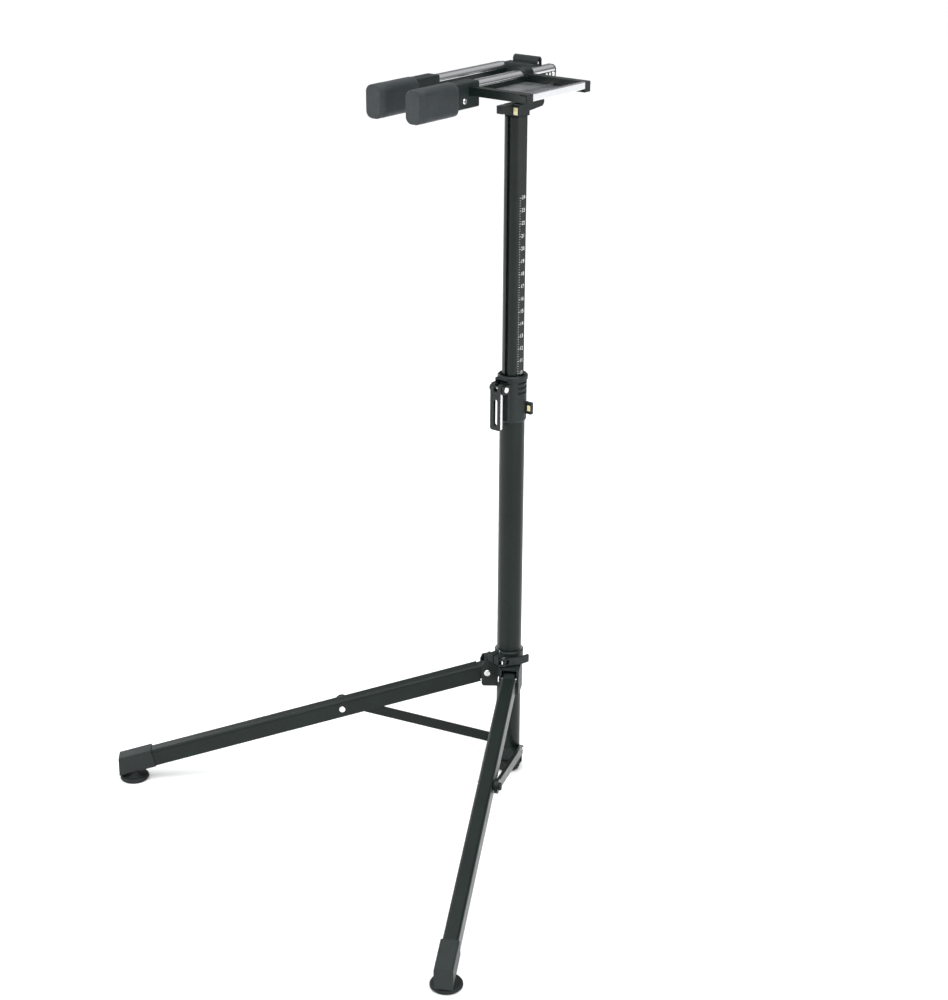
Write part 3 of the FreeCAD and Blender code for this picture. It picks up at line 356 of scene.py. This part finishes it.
SCALE_TOP = 0.990             # height of the highest number
NUMBER_COUNT = 24
NUMBER_PITCH = 20.0           # this and the sizes below are in mm
TICKS_BETWEEN = 4             # short ticks from one number to the next
TICK_LEFT, LONG_TICK_RIGHT, SHORT_TICK_RIGHT = -6.6, -2.6, -4.6
LONG_TICK_HALF, SHORT_TICK_HALF = 0.35, 0.25
DIGIT_CENTRE, DIGIT_SIZE = 2.8, 8.5
PRINT_THICKNESS = 0.05


def make_scale():
    """Numbers with a long tick each and short ticks between them, as thin prints on the profile's flat."""
    flat_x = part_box("upper_mast_profile")[1].x
    thickness = PRINT_THICKNESS * MM
    vertices, faces = [], []

    def add_tick(z, right, half):
        add_quad_prism(vertices, faces, flat_x, flat_x + thickness, TICK_LEFT * MM, right * MM,
                       z - half * MM, z + half * MM)

    for n in range(NUMBER_COUNT):
        z = SCALE_TOP - n * NUMBER_PITCH * MM
        add_tick(z, LONG_TICK_RIGHT, LONG_TICK_HALF)
        for k in range(1, TICKS_BETWEEN + 1):
            add_tick(z - k * NUMBER_PITCH * MM / (TICKS_BETWEEN + 1), SHORT_TICK_RIGHT, SHORT_TICK_HALF)
        digits = digits_mesh(str(NUMBER_COUNT - n), DIGIT_SIZE * MM, thickness)
        offset = len(vertices)
        for v in digits.vertices:
            vertices.append((flat_x + thickness / 2 + v.co.z, DIGIT_CENTRE * MM + v.co.x, z + v.co.y))
        faces += [tuple(offset + i for i in p.vertices) for p in digits.polygons]
        bpy.data.meshes.remove(digits)
    ink = finish_material("scale_ink", colour=(0.78, 0.80, 0.80), roughness=(0.4, 0.55), grain=2200.0,
                          spread=0.1)
    marks = new_object("mast_scale_marks", vertices, faces, ink)
    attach(marks, "upper_mast")


make_scale()


# ---- Painted highlight on the height lever's edge: a thin bright metal skin ----------------------------
EDGE_Y = (0.25, 5.05)         # the edge's span across the lever's thickness, in mm
EDGE_TOP_INSET = 12.0
EDGE_RADIUS, EDGE_SKIN = 4.0, 0.12
EDGE_STEPS = 8
EDGE_TURN = -90.0 * 0.9       # degrees that the edge follows round the lower corner


def make_lever_edge_highlight():
    """A thin bright metal face along the lever's right-hand side and round its lower corner: a painted
    highlight.
    """
    low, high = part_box("height_lever")
    radius = EDGE_RADIUS * MM
    path = [(high.x, high.z - EDGE_TOP_INSET * MM), (high.x, low.z + radius)]
    cx, cz = high.x - radius, low.z + radius
    for i in range(1, EDGE_STEPS + 1):
        a = math.radians(EDGE_TURN * i / EDGE_STEPS)
        path.append((cx + radius * math.cos(a), cz + radius * math.sin(a)))
    vertices, faces = [], []
    for x, z in path:
        dx, dz = x - cx, min(0.0, z - cz)
        size = math.hypot(dx, dz)
        for depth in (0.0, EDGE_SKIN * MM):
            for y in EDGE_Y:
                vertices.append((x + dx / size * depth, low.y + y * MM, z + dz / size * depth))
    for i in range(len(path) - 1):
        a, b = 4 * i, 4 * (i + 1)
        faces += [(a + 2, b + 2, b + 3, a + 3), (a, a + 1, b + 1, b),
                  (a, b, b + 2, a + 2), (a + 1, a + 3, b + 3, b + 1)]
    end = 4 * (len(path) - 1)
    faces += [(0, 2, 3, 1), (end, end + 1, end + 3, end + 2)]
    # The bright_rail skin is a painted highlight on the lever's edge, not a polished part of the lever
    edge = new_object("height_lever_painted_highlight", vertices, faces, materials["bright_rail"])
    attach(edge, "height_lever")


make_lever_edge_highlight()


# ---- Studio --------------------------------------------------------------------------------------------
FLOOR_HALF = 30.0
FLOOR_TONES = (0.925, 0.925, 0.925), (0.935, 0.935, 0.935)


def make_floor():
    vertices = [(x * FLOOR_HALF, y * FLOOR_HALF, 0) for x, y in ((-1, -1), (1, -1), (1, 1), (-1, 1))]
    t = Tree("studio_floor")
    tone = t.span(t.noise(1.5, 2.0), 0.3, 0.7, 0.0, 1.0)
    t.link(t.blend(tone, *FLOOR_TONES), t.shader.inputs["Base Color"])
    t.shader.inputs["Roughness"].default_value = 0.9
    t.shader.inputs["Specular IOR Level"].default_value = 0.2
    new_object("studio_floor", vertices, [(0, 1, 2, 3)], t.material)


def aim(obj, location, target):
    obj.location = location
    obj.rotation_euler = (Vector(target) - Vector(location)).to_track_quat("-Z", "Y").to_euler()


def add_area(name, location, target, size_x, size_y, power):
    light = bpy.data.lights.new(name, "AREA")
    light.shape = "RECTANGLE"
    light.size = size_x
    light.size_y = size_y
    light.energy = power
    obj = bpy.data.objects.new(name, light)
    bpy.context.scene.collection.objects.link(obj)
    aim(obj, location, target)


HORIZON_LIGHT, WALL_LIGHT, CEILING_LIGHT = 1.03, 0.16, 0.54
# Sine of the elevation where each change of light starts and ends, and the light before and after it
WORLD_BANDS = ((0.06, 0.14, HORIZON_LIGHT, WALL_LIGHT), (0.30, 0.60, WALL_LIGHT, CEILING_LIGHT))


def make_world():
    """White at the horizon, where the floor ends, then dim walls below a brighter ceiling."""
    world = bpy.data.worlds.new("studio")
    world.use_nodes = True
    nodes, links = world.node_tree.nodes, world.node_tree.links
    background = nodes["Background"]
    background.inputs["Color"].default_value = (0.97, 0.98, 1.0, 1.0)
    direction = nodes.new("ShaderNodeTexCoord").outputs["Generated"]
    height = nodes.new("ShaderNodeSeparateXYZ")
    links.new(direction, height.inputs["Vector"])
    strength = nodes.new("ShaderNodeMath")
    strength.operation = "MAXIMUM"
    for index, (low, high, from_light, to_light) in enumerate(WORLD_BANDS):
        band = nodes.new("ShaderNodeMapRange")
        band.inputs["From Min"].default_value = low
        band.inputs["From Max"].default_value = high
        band.inputs["To Min"].default_value = from_light
        band.inputs["To Max"].default_value = to_light
        links.new(height.outputs["Z"], band.inputs["Value"])
        links.new(band.outputs["Result"], strength.inputs[index])
    links.new(strength.outputs["Value"], background.inputs["Strength"])
    bpy.context.scene.world = world


LIGHT_TARGET = (0.0, -0.1, 0.6)
# Name, place, width, height and power of each soft box
SOFT_BOXES = (
    ("key_light", (2.85, -0.95, 1.6), 0.5, 2.4, 42.0),
    ("front_light", (-1.8, -2.4, 1.5), 1.4, 1.8, 40.0),
    ("rim_light", (-2.8, 0.6, 2.2), 0.6, 2.4, 22.0),
    ("top_light", (0.0, 0.0, 3.6), 2.2, 2.2, 40.0),
)


SUN_PLACE, SUN_TARGET = (1.2, -1.0, 3.2), (0.0, 0.0, 0.0)
SUN_STRENGTH = 2.25
SUN_ANGLE = 70.0              # degrees, wide for soft shadows


def make_lights():
    for name, place, size_x, size_y, power in SOFT_BOXES:
        add_area(name, place, LIGHT_TARGET, size_x, size_y, power)
    sun = bpy.data.lights.new("soft_sun", "SUN")
    sun.energy = SUN_STRENGTH
    sun.angle = math.radians(SUN_ANGLE)
    obj = bpy.data.objects.new("soft_sun", sun)
    bpy.context.scene.collection.objects.link(obj)
    aim(obj, SUN_PLACE, SUN_TARGET)


CAMERA_PLACE = (1.73265, -2.34240, 1.65836)
CAMERA_AZIMUTH, CAMERA_PITCH, CAMERA_ROLL = 37.67, 21.85, 0.33    # degrees
CAMERA_LENS, CAMERA_SENSOR = 69.66, 36.0


def make_camera():
    location = Vector(CAMERA_PLACE)
    azimuth, pitch, roll = (math.radians(a) for a in (CAMERA_AZIMUTH, CAMERA_PITCH, CAMERA_ROLL))
    forward = Vector((-math.sin(azimuth) * math.cos(pitch), math.cos(azimuth) * math.cos(pitch),
                      -math.sin(pitch)))
    level_right = Vector((math.cos(azimuth), math.sin(azimuth), 0.0))
    level_up = level_right.cross(forward)
    right = math.cos(roll) * level_right + math.sin(roll) * level_up
    up = math.cos(roll) * level_up - math.sin(roll) * level_right
    data = bpy.data.cameras.new("photo_camera")
    data.lens = CAMERA_LENS
    data.sensor_width = CAMERA_SENSOR
    camera = bpy.data.objects.new("photo_camera", data)
    rotation = Matrix((right, up, -forward)).transposed().to_4x4()
    camera.matrix_world = Matrix.Translation(location) @ rotation
    bpy.context.scene.collection.objects.link(camera)
    bpy.context.scene.camera = camera


make_floor()
make_world()
make_lights()
make_camera()
bpy.context.scene.view_settings.view_transform = "Standard"
